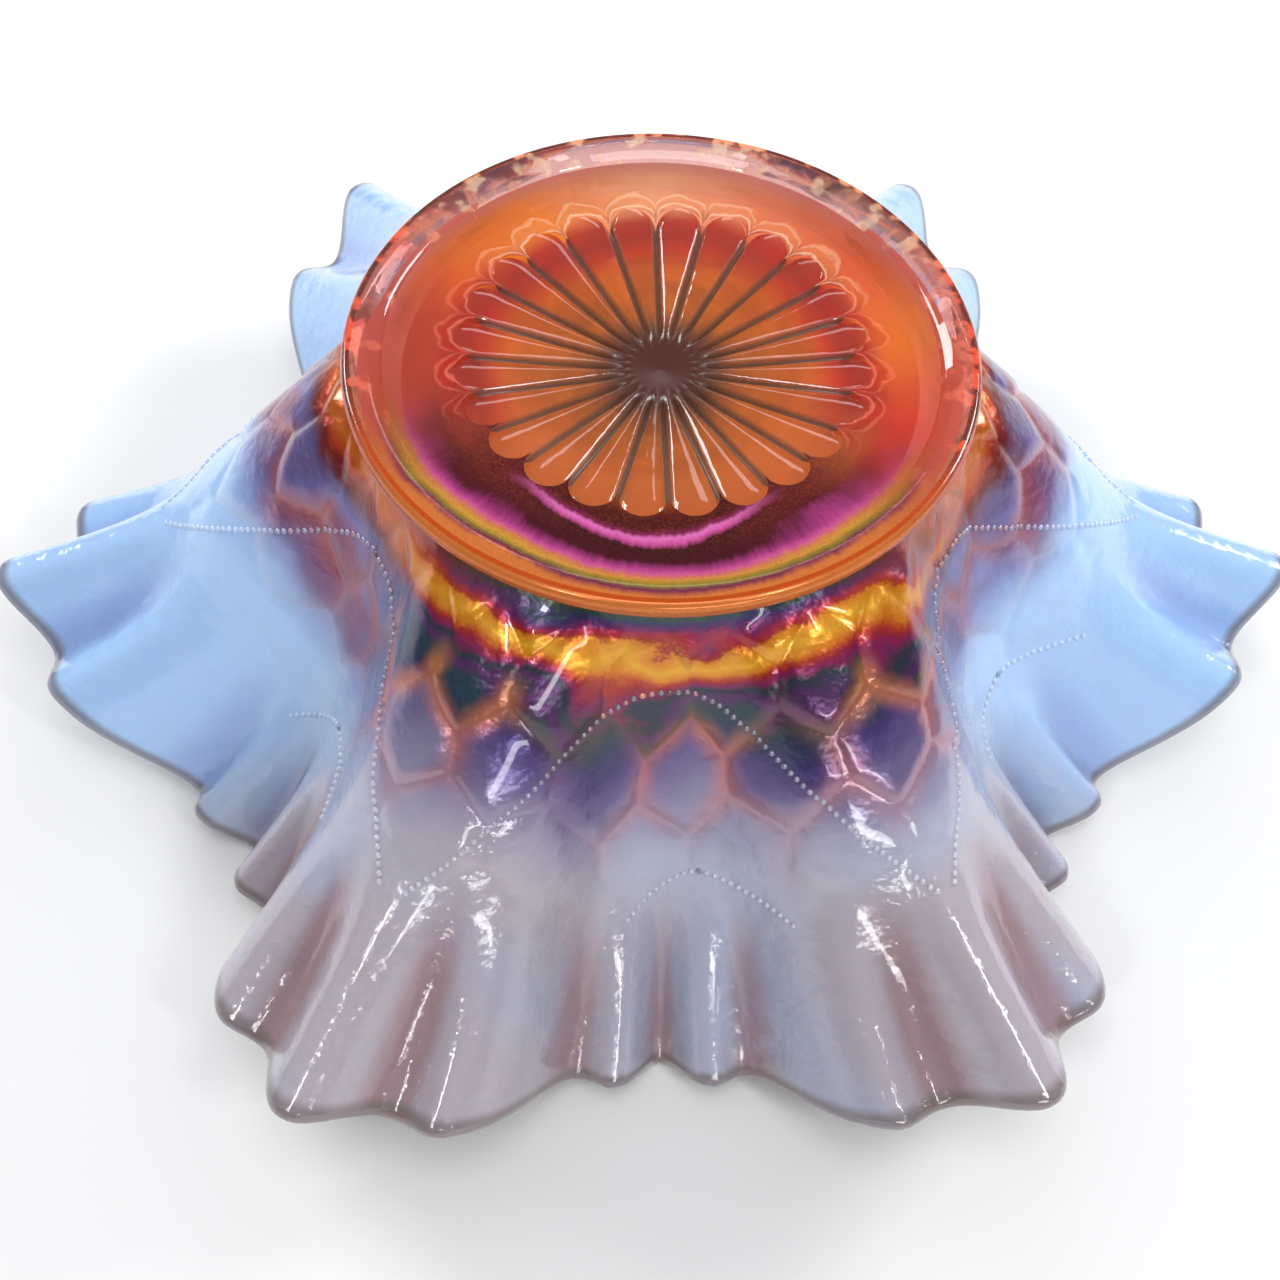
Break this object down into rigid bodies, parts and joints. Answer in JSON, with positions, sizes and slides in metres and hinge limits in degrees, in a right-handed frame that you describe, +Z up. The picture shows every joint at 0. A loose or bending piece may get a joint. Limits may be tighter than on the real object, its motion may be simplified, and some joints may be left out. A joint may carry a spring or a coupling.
{
  "type": "ruffled glass bowl",
  "caption": "Pressed iridescent glass bowl with a ruffled, crimped opal rim, a scale-patterned wall and a collar foot with a rayed star, resting rim down.",
  "frame": {"origin": "centre of the plane that the rim's six lowest folds rest on, under the middle of the foot", "axes": "+Z up, out of the foot's standing face, because the bowl lies rim down; -Y towards the front fold; +X along the middle of a lobe"},
  "size_m": [0.2144, 0.1876, 0.0815],
  "materials": {
    "marigold_foot_glass": "pressed clear glass over marigold iridescence, fire polished",
    "marigold_star_glass": "pressed clear glass over marigold iridescence, moulded rays",
    "iridescent_wall_glass": "iridescent pressed glass with a scale pattern, glossy",
    "opal_rim_glass": "milky opalescent glass, hand crimped, glossy"
  },
  "bodies": {
    "root": {"collar_foot": "marigold_foot_glass", "marie": "marigold_foot_glass", "ray_star": "marigold_star_glass", "star_hub": "marigold_star_glass", "scale_wall": "iridescent_wall_glass", "crimped_rim": "opal_rim_glass"}
  },
  "joints": []
}
